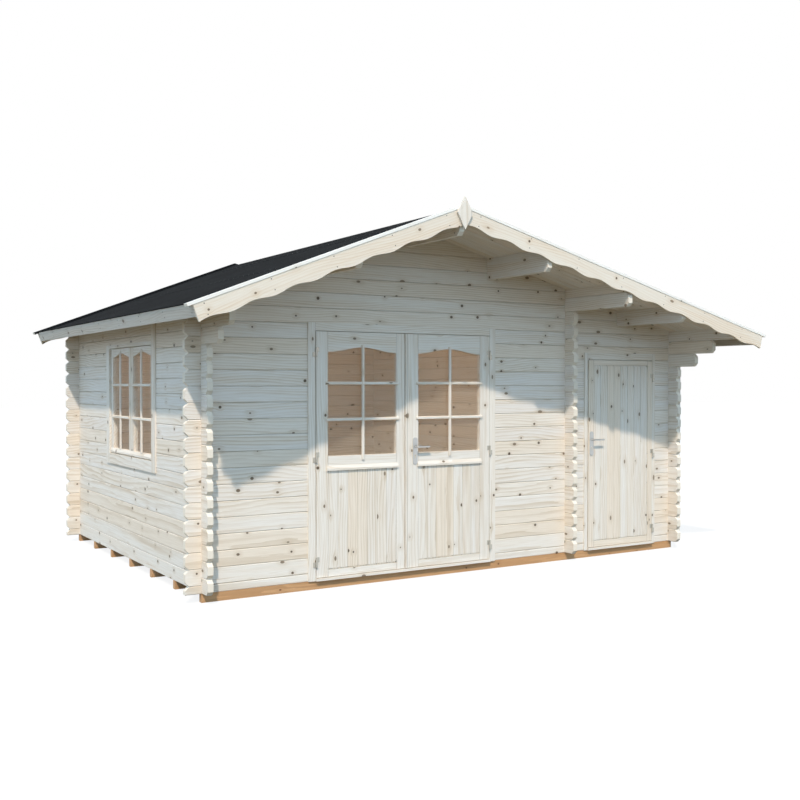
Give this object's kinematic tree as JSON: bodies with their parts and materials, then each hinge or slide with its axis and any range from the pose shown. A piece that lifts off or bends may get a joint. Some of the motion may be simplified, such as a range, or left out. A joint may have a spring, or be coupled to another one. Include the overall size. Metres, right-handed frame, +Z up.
{
  "type": "log cabin",
  "caption": "Gabled log cabin on bearers, with a glazed double door, a store beside the main room with its own solid door, and a deep roof overhang.",
  "frame": {"origin": "on the ground under the middle of the wall rectangle, on the underside of the middle bearer", "axes": "+X along the front from the main room to the store, +Y from the front to the back, +Z up"},
  "size_m": [5.5143, 4.4359, 2.9687],
  "materials": {
    "logs": "planed, untreated",
    "boards": "planed, untreated",
    "joinery": "planed, untreated",
    "treated_wood": "sawn, impregnated",
    "felt": "mineral surfaced",
    "fittings": "satin",
    "glazing": "clear"
  },
  "bodies": {
    "cabin": {"bearers": "treated_wood", "main_floor": "boards", "store_floor": "boards", "left_wall": "logs", "right_wall": "logs", "partition_wall": "logs", "back_wall": "logs", "back_gable": "logs", "front_wall_left": "logs", "front_wall_middle": "logs", "front_wall_right": "logs", "front_wall_head": "logs", "front_gable": "logs", "ridge_purlin": "logs", "side_purlins": "logs", "left_roof_boards": "boards", "right_roof_boards": "boards", "left_felt": "felt", "right_felt": "felt", "left_fascia": "boards", "right_fascia": "boards", "front_left_bargeboard": "boards", "front_right_bargeboard": "boards", "back_left_bargeboard": "boards", "back_right_bargeboard": "boards", "front_cover_strips": "boards", "back_cover_strips": "boards", "finial": "boards", "double_door_frame": "joinery", "store_door_frame": "joinery", "door_hinge_posts": "fittings", "window_frame": "joinery", "window_casements": "joinery", "window_glass": "glazing", "window_bars": "joinery", "window_drips": "joinery"},
    "left_leaf": {"left_leaf_frame": "joinery", "left_leaf_panel": "joinery", "left_leaf_glass": "glazing", "left_leaf_bars": "joinery", "left_leaf_drip": "joinery", "left_leaf_hinges": "fittings"},
    "right_leaf": {"right_leaf_frame": "joinery", "right_leaf_panel": "joinery", "right_leaf_glass": "glazing", "right_leaf_bars": "joinery", "right_leaf_drip": "joinery", "right_leaf_hinges": "fittings", "right_leaf_plates": "fittings"},
    "store_leaf": {"store_leaf_frame": "joinery", "store_leaf_panel": "joinery", "store_leaf_hinges": "fittings", "store_leaf_plates": "fittings"},
    "right_lever": {"right_leaf_lever": "fittings"},
    "store_lever": {"store_leaf_lever": "fittings"}
  },
  "joints": [
    {"name": "left_leaf_swing", "type": "hinge", "parent": "cabin", "child": "left_leaf", "pos_m": [-1.4665, -1.7485, 1], "axis": [0, 0, -1], "range_deg": [0, 110]},
    {"name": "right_leaf_swing", "type": "hinge", "parent": "cabin", "child": "right_leaf", "pos_m": [0.1865, -1.7485, 1], "axis": [0, 0, 1], "range_deg": [0, 110]},
    {"name": "store_leaf_swing", "type": "hinge", "parent": "cabin", "child": "store_leaf", "pos_m": [2.1115, -1.7485, 1], "axis": [0, 0, 1], "range_deg": [0, 110]},
    {"name": "right_lever_turn", "type": "hinge", "parent": "right_leaf", "child": "right_lever", "pos_m": [-0.567, -1.72, 1.073], "axis": [0, 1, 0], "range_deg": [0, 40], "stiffness_Nm_per_rad": 1.2, "springref_deg": -34.38},
    {"name": "store_lever_turn", "type": "hinge", "parent": "store_leaf", "child": "store_lever", "pos_m": [1.342, -1.72, 1.073], "axis": [0, 1, 0], "range_deg": [0, 40], "stiffness_Nm_per_rad": 1.2, "springref_deg": -34.38}
  ]
}
